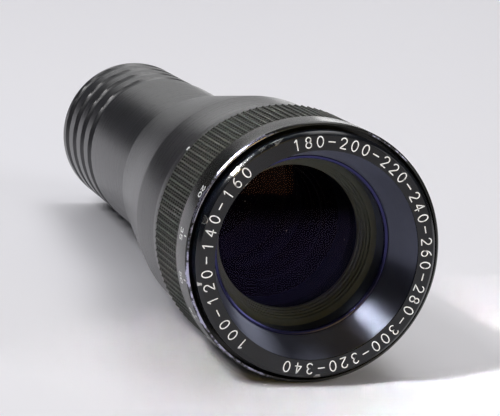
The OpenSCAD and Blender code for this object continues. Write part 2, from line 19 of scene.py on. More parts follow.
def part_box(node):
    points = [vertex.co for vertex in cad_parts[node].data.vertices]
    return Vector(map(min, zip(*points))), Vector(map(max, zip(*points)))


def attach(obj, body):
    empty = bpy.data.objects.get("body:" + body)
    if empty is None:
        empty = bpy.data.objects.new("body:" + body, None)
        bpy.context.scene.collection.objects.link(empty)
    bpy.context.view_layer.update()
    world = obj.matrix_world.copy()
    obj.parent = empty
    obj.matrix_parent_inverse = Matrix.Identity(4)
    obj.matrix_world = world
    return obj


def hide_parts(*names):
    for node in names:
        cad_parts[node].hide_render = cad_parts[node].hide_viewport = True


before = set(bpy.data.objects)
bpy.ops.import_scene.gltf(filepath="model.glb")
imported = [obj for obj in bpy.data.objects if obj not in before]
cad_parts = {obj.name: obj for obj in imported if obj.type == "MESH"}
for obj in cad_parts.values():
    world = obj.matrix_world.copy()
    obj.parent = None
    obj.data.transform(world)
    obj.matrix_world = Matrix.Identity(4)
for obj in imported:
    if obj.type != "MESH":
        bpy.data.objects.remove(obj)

LOG = logging.getLogger("projection_lens")
MM = 0.001
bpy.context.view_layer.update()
REAR_FACE_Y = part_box("rear_barrel")[1].y / MM
# Steps round the axis, steps along a rounded corner and rings from a glass's middle to its rim.
SEGMENTS = 256
FILLET_STEPS = 4
GLASS_RINGS = 28
# Edges of this angle or more, in degrees, stay sharp.
SHARP = 30.0
# The visual pieces stay this far, in millimetres, inside the CAD box.
SKIN = 0.03
# Engraved strokes stand this far, in millimetres, above the face they are on.
PROUD = 0.02
# A quarter turn of the shine's direction: it spreads across the lathe grooves.
ACROSS_GROOVES = 0.25

Array = np.ndarray
Socket = bpy.types.NodeSocket
Tree = bpy.types.NodeTree
Material = bpy.types.Material
Piece = bpy.types.Object
Links = dict[str | int, object]
Finishes = dict[str, Material]


class Body(Enum):
    """The CAD bodies that a piece can ride on."""

    FIXED = "root"
    ZOOM = "zoom_ring"
    FRONT = "front_group"
    INNER = "inner_group"


class Corner(NamedTuple):
    """A corner of a turned outline, with the radius that softens it and how worn it is."""

    radius: float
    station: float
    fillet: float = 0.0
    wear: float = 0.0


def linear(colour: str) -> tuple[float, float, float, float]:
    """Turns an sRGB hex colour, as "#rrggbb", into linear red, green and blue, with alpha 1."""
    channels = [int(colour[i : i + 2], 16) / 255 for i in (1, 3, 5)]
    return *(c / 12.92 if c <= 0.04045 else ((c + 0.055) / 1.055) ** 2.4 for c in channels), 1.0


def add_node(tree: Tree, kind: str, links: Links | None = None, **settings: object) -> bpy.types.Node:
    """Adds a node with its settings, and sets or links its inputs.

    Args:
        tree: The tree that gets the node.
        kind: The node's type without "ShaderNode".
        links: Input names or indices, each with an output socket to link or a value to set.
        **settings: Attributes of the node.

    Returns:
        The new node.
    """
    made = tree.nodes.new("ShaderNode" + kind)
    for name, value in settings.items():
        setattr(made, name, value)
    for name, value in (links or {}).items():
        if isinstance(value, Socket):
            tree.links.new(value, made.inputs[name])
        else:
            made.inputs[name].default_value = value
    return made


def new_finish(name: str) -> tuple[Material, Tree, Socket]:
    """Makes an empty material.

    Args:
        name: Its name.

    Returns:
        The material, its tree and the tree's object coordinates.
    """
    made = bpy.data.materials.new(name)
    made.use_nodes = True
    tree = made.node_tree
    tree.nodes.clear()
    return made, tree, add_node(tree, "TexCoord").outputs["Object"]


def surfaced(made: Material, links: Links) -> Material:
    """Ends a material with a principled surface.

    Args:
        made: The material.
        links: The surface's inputs, each with a socket or a value.

    Returns:
        The same material.
    """
    skin = add_node(made.node_tree, "BsdfPrincipled", links)
    add_node(made.node_tree, "OutputMaterial", {"Surface": skin.outputs[0]})
    return made


def noise(tree: Tree, place: Socket, scale: float, detail: float, roughness: float = 0.5) -> Socket:
    """Adds noise on object coordinates. Its height is mostly between 0.3 and 0.7."""
    inputs = {"Vector": place, "Scale": scale, "Detail": detail, "Roughness": roughness}
    return add_node(tree, "TexNoise", inputs).outputs["Fac"]


def graded(tree: Tree, value: Socket, low: float, high: float, start: float = 0.0, end: float = 1.0) -> Socket:
    """Maps the range from low to high onto the range from start to end, without going past either end."""
    return add_node(tree, "MapRange", {0: value, 1: low, 2: high, 3: start, 4: end}).outputs[0]


def blend(tree: Tree, share: Socket, first: Socket | str, second: str) -> Socket:
    """Mixes a colour or a hex colour with a hex colour, of which it takes the given share."""
    base = first if isinstance(first, Socket) else linear(first)
    return add_node(tree, "Mix", {0: share, 6: base, 7: linear(second)}, data_type="RGBA").outputs[2]


def reckoned(tree: Tree, operation: str, first: Socket, second: Socket | float) -> Socket:
    """Adds one step of arithmetic, named as Blender's Math node names it."""
    return add_node(tree, "Math", {0: first, 1: second}, operation=operation).outputs[0]


def embossed(tree: Tree, height: Socket, strength: float, metres: float) -> Socket:
    """Adds a fine relief whose full height is given in metres."""
    return add_node(tree, "Bump", {"Height": height, "Strength": strength, "Distance": metres}).outputs[0]


def lens_space(radius: Array, angle: Array, station: Array) -> Array:
    """Places lens space in the frame: x = r cos a, y = rear face - station, z = r sin a, in metres.

    Args:
        radius: Distances from the axis in millimetres.
        angle: Angles in radians.
        station: Stations in millimetres.

    Returns:
        Points, with x, y and z along the last axis.
    """
    x, y, z = np.broadcast_arrays(radius * np.cos(angle), REAR_FACE_Y - station, radius * np.sin(angle))
    return np.stack((x, y, z), axis=-1) * MM


def clock(degrees: float | Array) -> float | Array:
    """Turns an angle clockwise from the top, seen from the front, into an angle of lens space."""
    return np.radians(90.0 - degrees)


def softened(corners: Iterable[Corner]) -> tuple[Array, Array]:
    """Rounds a closed outline's corners with parabolas: (1-t)^2 A + 2t(1-t) P + t^2 B from side to side.

    Args:
        corners: The outline's corners in order.

    Returns:
        The outline's points as rows of radius and station, and the wear of each.
    """
    rows = list(corners)
    places = np.array([[c.radius, c.station] for c in rows])
    points: list[Array] = []
    wear: list[Array] = []
    share = np.linspace(0.0, 1.0, FILLET_STEPS + 1)[:, None]
    for i, corner in enumerate(rows):
        at = places[i]
        if corner.fillet <= 0.0:
            points.append(at[None, :])
            wear.append(np.array([corner.wear]))
            continue
        back = places[i - 1] - at
        ahead = places[(i + 1) % len(rows)] - at
        a = at + back / np.linalg.norm(back) * corner.fillet
        b = at + ahead / np.linalg.norm(ahead) * corner.fillet
        points.append((1 - share) ** 2 * a + 2 * share * (1 - share) * at + share**2 * b)
        wear.append(np.full(FILLET_STEPS + 1, corner.wear))
    return np.vstack(points), np.concatenate(wear)


def quads(rows: int, turns: int) -> Array:
    """Joins each row of points to the next one, closed round the axis.

    Args:
        rows: Rows that have a next one.
        turns: Points in a row.

    Returns:
        Faces as rows of four point numbers.
    """
    i, j = np.meshgrid(np.arange(rows), np.arange(turns), indexing="ij")
    this, after = i * turns + j, i * turns + (j + 1) % turns
    return np.stack((this, after, after + turns, this + turns), -1).reshape(-1, 4)


def mesh_piece(name: str, points: Array, faces: Array, sheet: Array | None = None) -> Piece:
    """Makes a piece from points and faces, facing outwards.

    Args:
        name: The piece's name.
        points: Rows of x, y and z in metres.
        faces: Rows of 3 or 4 point numbers. A row of 4 that repeats its third is a triangle.
        sheet: One UV pair for each corner of each face, in the faces' order.

    Returns:
        The new object, at the origin and linked to the scene.
    """
    mesh = bpy.data.meshes.new(name)
    loops = [list(f[:3]) if len(f) == 4 and f[3] == f[2] else list(f) for f in faces.tolist()]
    mesh.from_pydata(points.tolist(), [], loops)
    mesh.polygons.foreach_set("use_smooth", np.ones(len(loops), bool))
    if sheet is not None:
        layer = mesh.uv_layers.new(name="turned")
        layer.data.foreach_set("uv", sheet.astype(np.float32).ravel())
    mesh.update()
    piece = bpy.data.objects.new(name, mesh)
    bpy.context.scene.collection.objects.link(piece)
    return piece


def carry(piece: Piece, body: Body, slot: str, finish: Material, *nodes: str) -> None:
    """Dresses a piece, seats it on its body and hides the CAD nodes that it stands for.

    Args:
        piece: The piece.
        body: The body that it rides on.
        slot: Not used.
        finish: Its material.
        *nodes: The CAD nodes that it replaces.
    """
    piece.data.materials.append(finish)
    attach(piece, body.value)
    if nodes:
        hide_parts(*nodes)
    LOG.info("%s rides on %s, %d faces", piece.name, body.value, len(piece.data.polygons))


def lattice(name: str, points: Array, along: Array, sharp: float = SHARP, **attributes: Array) -> Piece:
    """Joins a closed outline's rows, carried round the axis, into a closed skin.

    Args:
        name: The piece's name.
        points: Points by row of the outline and by step round the axis.
        along: The length along the outline at each row, and once more at its end, in millimetres.
        sharp: The angle in degrees from which an edge stays sharp.
        **attributes: Values by row and step, kept on the mesh under their names.

    Returns:
        The new object.
    """
    rows, turns = points.shape[:2]
    # The last row joins the first.
    faces = quads(rows, turns) % (rows * turns)
    i, j = np.meshgrid(np.arange(rows), np.arange(turns), indexing="ij")
    u0, u1 = j / turns, (j + 1) / turns
    v0, v1 = along[i], along[i + 1]
    sheet = np.stack((u0, v0, u1, v0, u1, v1, u0, v1), -1).reshape(-1, 2)
    flat = points.reshape(-1, 3)
    a, b, c, d = (flat[faces[:, k]] for k in range(4))
    volume = np.einsum("ij,ij->", a, np.cross(b, c) + np.cross(c, d)) / 6
    if volume < 0:
        faces = faces[:, ::-1]
        sheet = sheet.reshape(-1, 4, 2)[:, ::-1].reshape(-1, 2)
    piece = mesh_piece(name, flat, faces, sheet)
    piece.data.set_sharp_from_angle(angle=math.radians(sharp))
    for label, values in attributes.items():
        kept = piece.data.attributes.new(label, "FLOAT", "POINT")
        kept.data.foreach_set("value", np.broadcast_to(values, (rows, turns)).astype(np.float32).ravel())
    return piece


def turned(
    name: str,
    corners: Iterable[tuple[float, ...]],
    spots: Iterable[tuple[float, float, float]] = (),
    cut: Callable[[Array, Array], Array] | None = None,
    least_wear: float = 0.3,
) -> Piece:
    """Turns a closed outline round the axis: each of its points becomes a circle.

    Args:
        name: The piece's name.
        corners: The outline's corners, each with the values of a Corner.
        spots: Worn spots, as the clock angle, the width in degrees and the strength of each.
        cut: How much a place's radius is cut down, from its angle and its station.
        least_wear: The share of a corner's wear away from the spots.

    Returns:
        The new object, with an attribute "wear".
    """
    outline, worn = softened(Corner(*values) for values in corners)
    angle = np.linspace(0.0, 2 * np.pi, SEGMENTS, endpoint=False)[None, :]
    radius, station = outline[:, :1], outline[:, 1:]
    if cut is not None:
        radius = radius - cut(angle, station) * (radius > outline[:, 0].max() - 1.0)
    spread = np.full_like(angle, least_wear)
    for at, width, strength in spots:
        # A bell curve: e to the power of minus the turn squared over the width squared.
        turn = np.angle(np.exp(1j * (angle - clock(at))))
        spread = spread + strength * np.exp(-((turn / math.radians(width)) ** 2))
    points = lens_space(radius, angle, station)
    sides = np.linalg.norm(np.roll(outline, -1, axis=0) - outline, axis=1)
    return lattice(name, points, np.append(0.0, np.cumsum(sides)), wear=worn[:, None] * spread)


class Glass(NamedTuple):
    """A glass between two spherical faces. Its land is the radius that the faces reach."""

    name: str
    node: str
    body: Body
    radius: float
    land: float
    back: float
    front: float
    # How high the front face and the rear face stand over their rims, below 0 if hollow.
    bulges: tuple[float, float]
    finish: str = "inner_glass"
    slot: str = "inner_optic"
    grind: float = 0.25

    def cap(self, rise: float) -> Array:
        """Gives a spherical face: its height at r is its rise less R - sqrt(R^2 - r^2).

        Args:
            rise: The height at the middle.

        Returns:
            Rows of radius and height outwards, without the middle.
        """
        r = self.land * np.sin(np.linspace(0.0, np.pi / 2, GLASS_RINGS + 1))[1:]
        ball = (self.land * self.land + rise * rise) / (2 * abs(rise))
        return np.stack((r, math.copysign(1.0, rise) * (np.sqrt(ball * ball - r * r) - ball + abs(rise))), -1)

    def build(self, finishes: Finishes) -> None:
        """Turns the outline round the axis, closes it with a fan at each pole and carries it.

        Args:
            finishes: The materials by name.
        """
        front_cap, rear_cap = self.cap(self.bulges[0]), self.cap(self.bulges[1])
        front_cap[:, 1] += self.front
        rear_cap[:, 1] = self.back - rear_cap[:, 1]
        outer, inner = self.radius, self.radius - self.grind
        high, low = self.front - self.grind, self.back + self.grind
        rim = np.array([[inner, self.front], [outer, high], [outer, low], [inner, self.back]])
        rows = np.vstack((front_cap, rim, rear_cap[::-1]))
        turns = SEGMENTS // 2
        angle = np.linspace(0.0, 2 * np.pi, turns, endpoint=False)[None, :]
        skin = lens_space(rows[:, :1], angle, rows[:, 1:]).reshape(-1, 3)
        middles = np.array([self.front + self.bulges[0], self.back - self.bulges[1]])
        poles = lens_space(np.zeros(2), np.zeros(2), middles)
        last, step = (len(rows) - 1) * turns, np.arange(turns)
        after = (step + 1) % turns
        front_pole, rear_pole = np.full(turns, len(skin)), np.full(turns, len(skin) + 1)
        front_fan = np.stack((after, step, front_pole, front_pole), -1)
        rear_fan = np.stack((last + step, last + after, rear_pole, rear_pole), -1)
        faces = np.vstack((quads(len(rows) - 1, turns), front_fan, rear_fan))
        piece = mesh_piece(self.name, np.vstack((skin, poles)), faces)
        piece.data.set_sharp_from_angle(angle=math.radians(SHARP))
        carry(piece, self.body, self.slot, finishes[self.finish], self.node)


@dataclass(frozen=True)
class TurnedMetal:
    """Metal from a lathe: fine rings along the outline, faint haze, and bare patches where it is worn."""

    name: str
    colour: str
    haze: str
    metallic: float
    roughness: float
    ring_mm: float = 0.35
    ring_um: float = 4.0
    specular: float = 0.5
    bare: str = "#c9c7c4"
    # How strongly the grooves spread the shine across them.
    grooved: float = 0.0
    worn: bool = False
    on_solid: bool = False

    def material(self) -> Material:
        """Builds the finish: rings from one-way noise along the outline, haze and chips on object space.

        Returns:
            The material.
        """
        made, tree, place = new_finish(self.name)
        along = self.along(tree, place)
        rings = add_node(tree, "TexNoise", {"W": along, "Scale": 1.0, "Detail": 2.0}, noise_dimensions="1D")
        height = rings.outputs["Fac"]
        hazy = graded(tree, noise(tree, place, 90.0, 4.0, 0.6), 0.35, 0.75)
        colour = blend(tree, hazy, self.colour, self.haze)
        metal: Socket | float = self.metallic
        if self.worn:
            marks = self.chips(tree, place)
            metal = graded(tree, marks, 0.0, 1.0, self.metallic, 1.0)
            colour = blend(tree, marks, colour, self.bare)
        links: Links = {
            "Base Color": colour,
            "Metallic": metal,
            "Roughness": graded(tree, height, 0.3, 0.7, self.roughness * 0.85, self.roughness * 1.2),
            "Normal": embossed(tree, height, 0.6, self.ring_um * 1e-6),
            "Specular IOR Level": self.specular,
        }
        if self.grooved > 0.0:
            links["Tangent"] = add_node(tree, "Tangent", direction_type="RADIAL", axis="Y").outputs[0]
            links["Anisotropic"] = self.grooved
            links["Anisotropic Rotation"] = ACROSS_GROOVES
        return surfaced(made, links)

    def along(self, tree: Tree, place: Socket) -> Socket:
        """Measures the way along the turned outline, in ring widths.

        Args:
            tree: The finish's tree.
            place: Object coordinates, for the CAD solids. The built pieces have the turned map.

        Returns:
            The way along the outline.
        """
        if not self.on_solid:
            turned_map = add_node(tree, "UVMap", uv_map="turned").outputs[0]
            up = add_node(tree, "SeparateXYZ", {0: turned_map}).outputs["Y"]
            return reckoned(tree, "MULTIPLY", up, 1.0 / self.ring_mm)
        flat = add_node(tree, "VectorMath", {0: place, 1: (1.0, 0.0, 1.0)}, operation="MULTIPLY")
        radius = add_node(tree, "VectorMath", {0: flat.outputs[0]}, operation="LENGTH").outputs["Value"]
        axial = add_node(tree, "SeparateXYZ", {0: place}).outputs["Y"]
        return reckoned(tree, "MULTIPLY", reckoned(tree, "ADD", axial, radius), 1.0 / (self.ring_mm * MM))

    def chips(self, tree: Tree, place: Socket) -> Socket:
        """Finds the bare patches: two noises, stronger where the piece's wear attribute is high.

        Args:
            tree: The finish's tree.
            place: Object coordinates.

        Returns:
            1 on bare metal, 0 on the finish.
        """
        worn = add_node(tree, "Attribute", attribute_name="wear").outputs["Fac"]
        both = reckoned(tree, "ADD", noise(tree, place, 900.0, 3.0, 0.7), noise(tree, place, 160.0, 2.0))
        return graded(tree, reckoned(tree, "MULTIPLY", both, worn), 0.55, 0.67)


@dataclass(frozen=True)
class GripRubber:
    """Moulded hard rubber: dusty ridges, with painted shade in the pits between them, near-black by the depth
    that an attribute gives.
    """

    name: str = "moulded_grip_rubber"
    ridge: str = "#454642"
    # Painted shade: the colour of the pits, near-black as shadow falls in them.
    pit: str = "#0a0b0a"
    dust: str = "#6d6e68"

    def material(self) -> Material:
        """Builds the finish: ridge colour to the pits' painted shade by depth, with dust in a coarse noise.

        Returns:
            The material.
        """
        made, tree, place = new_finish(self.name)
        # The depth among the ribs sets how much painted shade a place gets.
        depth = add_node(tree, "Attribute", attribute_name="pit").outputs["Fac"]
        dusty = noise(tree, place, 420.0, 4.0, 0.7)
        top = blend(tree, graded(tree, dusty, 0.5, 0.72, 0.0, 0.5), self.ridge, self.dust)
        links = {
            "Base Color": blend(tree, depth, top, self.pit),
            "Roughness": 0.62,
            "Specular IOR Level": 0.35,
            "Normal": embossed(tree, dusty, 0.3, 2e-5),
        }
        return surfaced(made, links)


@dataclass(frozen=True)
class EngravingPaint:
    """White filler rubbed into an engraving: matt, with a few worn grains."""

    name: str
    colour: str
    worn: str

    def material(self) -> Material:
        """Builds the finish: filler with worn grains in a fine noise.

        Returns:
            The material.
        """
        made, tree, place = new_finish(self.name)
        grain = noise(tree, place, 1600.0, 3.0)
        links = {
            "Base Color": blend(tree, graded(tree, grain, 0.6, 0.75, 0.0, 0.7), self.colour, self.worn),
            "Roughness": 0.55,
            "Normal": embossed(tree, grain, 0.3, 1e-5),
        }
        return surfaced(made, links)


@dataclass(frozen=True)
class CoatedGlass:
    """Polished optical glass whose coating tints what it reflects, with dust on its face."""

    name: str
    tint: str
    ior: float
    body: str = "#f4f7f6"
    mote: str = "#b9b4ac"
    dust: float = 0.0

    def material(self) -> Material:
        """Builds the finish: clear glass, let through by shadow and diffuse rays, with specks of dust.

        The index is low because the coating takes most of the reflection away.

        Returns:
            The material.
        """
        made, tree, place = new_finish(self.name)
        specks = add_node(tree, "TexVoronoi", {"Vector": place, "Scale": 330.0}).outputs["Distance"]
        here = graded(tree, noise(tree, place, 140.0, 1.0), 0.6, 0.66, 0.0, self.dust)
        dusty = reckoned(tree, "MULTIPLY", graded(tree, specks, 0.05, 0.09, 1.0, 0.0), here)
        clear = add_node(
            tree,
            "BsdfPrincipled",
            {
                "Base Color": linear(self.body),
                "Roughness": 0.0,
                "IOR": self.ior,
                "Transmission Weight": 1.0,
                "Specular Tint": linear(self.tint),
            },
        )
        open_air = add_node(tree, "BsdfTransparent", {0: linear(self.body)})
        ray = add_node(tree, "LightPath").outputs
        let_by = reckoned(tree, "MAXIMUM", ray["Is Shadow Ray"], ray["Is Diffuse Ray"])
        glass = add_node(tree, "MixShader", {0: let_by, 1: clear.outputs[0], 2: open_air.outputs[0]})
        speck = add_node(tree, "BsdfDiffuse", {0: linear(self.mote)})
        skin = add_node(tree, "MixShader", {0: dusty, 1: glass.outputs[0], 2: speck.outputs[0]})
        add_node(tree, "OutputMaterial", {"Surface": skin.outputs[0]})
        return made


def arc(x: float, y: float, rx: float, ry: float, start: float, end: float) -> Array:
    """Points of an ellipse: x + rx cos a and y + ry sin a, from start to end in degrees."""
    a = np.radians(np.linspace(start, end, max(8, round(abs(end - start) / 15)) + 1))
    return np.stack((x + rx * np.cos(a), y + ry * np.sin(a)), axis=-1)


def line(*points: tuple[float, float]) -> Array:
    """A stroke of straight pieces through the points."""
    return np.array(points)


# Plain single-stroke numerals, as an engraving cutter makes them, in a box 1 high about its middle.
GLYPHS = {
    "0": [arc(0, 0, 0.3, 0.5, 0, 360)],
    "1": [line((-0.16, 0.3), (0.04, 0.5), (0.04, -0.5))],
    "2": [np.vstack((arc(0, 0.21, 0.28, 0.29, 165, -38), line((-0.28, -0.5), (0.3, -0.5))))],
    "3": [arc(0, 0.25, 0.24, 0.25, 150, -90), arc(0, -0.25, 0.28, 0.25, 90, -150)],
    "4": [line((0.12, -0.5), (0.12, 0.5), (-0.3, -0.2), (0.3, -0.2))],
    "5": [np.vstack((line((0.25, 0.5), (-0.2, 0.5), (-0.24, 0.06)), arc(0, -0.19, 0.28, 0.31, 122, -145)))],
    "6": [arc(0, -0.2, 0.27, 0.3, 0, 360), arc(0.25, -0.2, 0.52, 0.7, 180, 102)],
    "8": [arc(0, 0.26, 0.23, 0.24, 0, 360), arc(0, -0.24, 0.28, 0.26, 0, 360)],
    "-": [line((-0.3, 0.0), (0.3, 0.0))],
}


def ribbon(path: Array, width: float) -> tuple[Array, Array]:
    """A flat ribbon along a path: each point moves half a width to both sides, square to the path.

    Args:
        path: Points of the path in a plane.
        width: The ribbon's width.

    Returns:
        The ribbon's points and its faces, with round ends.
    """
    ways = np.gradient(path, axis=0)
    ways /= np.linalg.norm(ways, axis=1, keepdims=True)
    side = np.stack((-ways[:, 1], ways[:, 0]), axis=-1) * width / 2
    points = np.concatenate((path + side, path - side))
    n = len(path)
    k = np.arange(n - 1)
    faces = np.stack((k + n, k + n + 1, k + 1, k), axis=-1)
    for end, sign in ((0, -1.0), (n - 1, 1.0)):
        turn = np.radians(np.linspace(-90.0, 90.0, 7))
        heading = math.atan2(ways[end, 1] * sign, ways[end, 0] * sign)
        cap = path[end] + width / 2 * np.stack((np.cos(turn + heading), np.sin(turn + heading)), -1)
        base = len(points)
        points = np.concatenate((points, path[end][None, :], cap))
        m = np.arange(6) + base + 1
        fan = np.stack((np.full(6, base), m, m + 1, m + 1), -1)
        faces = np.concatenate((faces, fan))
    return points, faces


def filled_corners(path: Array, step: float = 0.12) -> Array:
    """Cuts a path's straight sides into short steps, so that the ribbon keeps its width at a bend.

    Args:
        path: The path's points in millimetres.
        step: About how long a step is.

    Returns:
        The points of the path and of its steps.
    """
    parts = [path[:1]]
    for a, b in zip(path[:-1], path[1:]):
        count = max(1, round(float(np.linalg.norm(b - a)) / step))
        parts.append(a + (b - a) * np.linspace(0.0, 1.0, count + 1)[1:, None])
    return np.concatenate(parts)


def lettering(name: str, paths: Iterable[Array], width: float, surface: Callable[[Array], Array]) -> Piece:
    """Joins flat strokes into one piece and lays it on a surface.

    Args:
        name: The piece's name.
        paths: Each stroke's points in millimetres.
        width: The strokes' width.
        surface: Where a plane point lies, as a function of rows of two to rows of three.

    Returns:
        The new object.
    """
    points: list[Array] = []
    faces: list[Array] = []
    base = 0
    for path in paths:
        flat, sides = ribbon(path, width)
        points.append(flat)
        faces.append(sides + base)
        base += len(flat)
    return mesh_piece(name, surface(np.concatenate(points)), np.concatenate(faces))


@dataclass
class RearBarrel:
    """The barrel that slides into the projector, with its helical focusing groove."""

    radius: float = 26.2
    relief_radius: float = 25.85
    relief_end: float = 50.9
    bore: float = 23.4
    length: float = 100.5
    spigot_radius: float = 25.5
    spigot_end: float = 110.5
    rim_bevel: float = 0.6
    pitch: float = 11.5
    groove_width: float = 5.6
    groove_depth: float = 1.2
    groove_reach: float = 47.5
    groove_start: float = 5.0
    groove_rows: int = 127
    run_out: float = 45.0

    def groove(self, angle: Array, station: Array) -> Array:
        """Depth of the groove at a place.

        The groove's middle climbs a pitch a turn, and its depth falls with the square of the distance
        from that middle. It fades in over the last part of its first turn.

        Args:
            angle: Angles in radians.
            station: Stations in millimetres.

        Returns:
            Depths in millimetres.
        """
        turn = np.mod(math.radians(self.groove_start) - angle, 2 * np.pi)
        first = self.groove_reach - self.pitch * turn / (2 * np.pi)
        lap = np.maximum(np.round((first - station) / self.pitch), 0.0)
        off = station - (first - lap * self.pitch)
        depth = self.groove_depth * np.clip(1.25 - 1.25 * (off / (self.groove_width / 2)) ** 2, 0.0, 1.0)
        fade = np.clip((turn + lap * 2 * np.pi) / math.radians(self.run_out), 0.0, 1.0)
        return depth * fade

    def build(self, finishes: Finishes) -> None:
        """Builds the barrel: a turned tube whose outside is cut down by the groove.

        Args:
            finishes: The materials by name.
        """
        fine = np.linspace(self.rim_bevel, self.relief_end, self.groove_rows)
        corners = [
            (self.bore, 0.0), (self.relief_radius - self.rim_bevel, 0.0, 0.0, 0.6),
            *((self.relief_radius, station) for station in fine),
            (self.radius, self.relief_end), (self.radius, self.length), (self.spigot_radius, self.length),
            (self.spigot_radius, self.spigot_end), (self.bore, self.spigot_end),
        ]
        piece = turned("barrel_tube", corners, cut=self.groove)
        carry(piece, Body.FIXED, "barrel_anodised", finishes["barrel"], "rear_barrel")


@dataclass
class BodyCasing:
    """The tapered body shell, from its rear shoulder to the seat under the zoom ring."""

    shoulder_radius: float = 28.7
    shoulder: float = 100.5
    taper_end: float = 147.3
    radius: float = 35.8
    line: float = 170.5
    line_width: float = 0.5
    line_depth: float = 0.8
    line_slope: float = 0.05
    band_radius: float = 36.9
    band_end: float = 175.7
    seat_radius: float = 34.5
    seat_end: float = 185.0
    bore: float = 33.0
    guide_seat: float = 142.9
    guide_radius: float = 31.2
    guide_bore: float = 29.65
    guide_start: float = 128.9
    throat_radius: float = 26.9
    spigot_radius: float = 25.5
    throat: float = 110.5
    mark_clock: float = -50.0
    mark_radius: float = 0.72

    def build(self, finishes: Finishes) -> None:
        """Builds the shell as a turned outline, and the white index mark on its band.

        Args:
            finishes: The materials by name.
        """
        band = self.band_radius
        corners = [
            (self.spigot_radius, self.shoulder), (self.shoulder_radius, self.shoulder, 0.9, 0.7),
            (self.radius, self.taper_end, 1.2, 0.15), (self.radius, self.line, 0.15),
            (self.radius - self.line_depth, self.line + self.line_slope),
            (self.radius - self.line_depth, self.line + self.line_width),
            (band, self.line + self.line_width + self.line_slope, 0.25, 0.3),
            (band, self.band_end, 0.25, 0.5),
            (self.seat_radius, self.band_end), (self.seat_radius, self.seat_end),
            (self.bore, self.seat_end), (self.bore, self.guide_seat),
            (self.guide_radius, self.guide_seat), (self.guide_radius, self.guide_start),
            (self.guide_bore, self.guide_start), (self.throat_radius, self.throat),
            (self.spigot_radius, self.throat),
        ]
        piece = turned("body_casing", corners, least_wear=0.5)
        carry(piece, Body.FIXED, "body_anodised", finishes["body"], "body_shell")
        self.index_mark((self.line + self.line_width + self.band_end) / 2, finishes["paint"])

    def index_mark(self, station: float, paint: Material) -> None:
        """Lays a round paint spot on the index band: a disc bent to the band's radius.

        Args:
            station: The middle of the band.
            paint: The filler's material.
        """
        rings, turns = np.meshgrid(np.linspace(0.2, 1.0, 3), np.radians(np.arange(0, 360, 20)), indexing="ij")
        x = np.concatenate(([0.0], (rings * np.cos(turns)).ravel())) * self.mark_radius
        y = np.concatenate(([0.0], (rings * np.sin(turns)).ravel())) * self.mark_radius
        proud = self.band_radius + PROUD
        points = lens_space(np.full_like(x, proud), clock(self.mark_clock) + x / proud, station + y)
        count = turns.shape[1]
        k = np.arange(count)
        after = (k + 1) % count
        fan = np.stack((np.zeros_like(k), 1 + k, 1 + after, 1 + after), -1)
        bands = 1 + quads(len(rings) - 1, count)[:, [0, 3, 2, 1]]
        piece = mesh_piece("index_mark", points, np.concatenate((fan, bands)))
        carry(piece, Body.FIXED, "name_ring_black", paint)


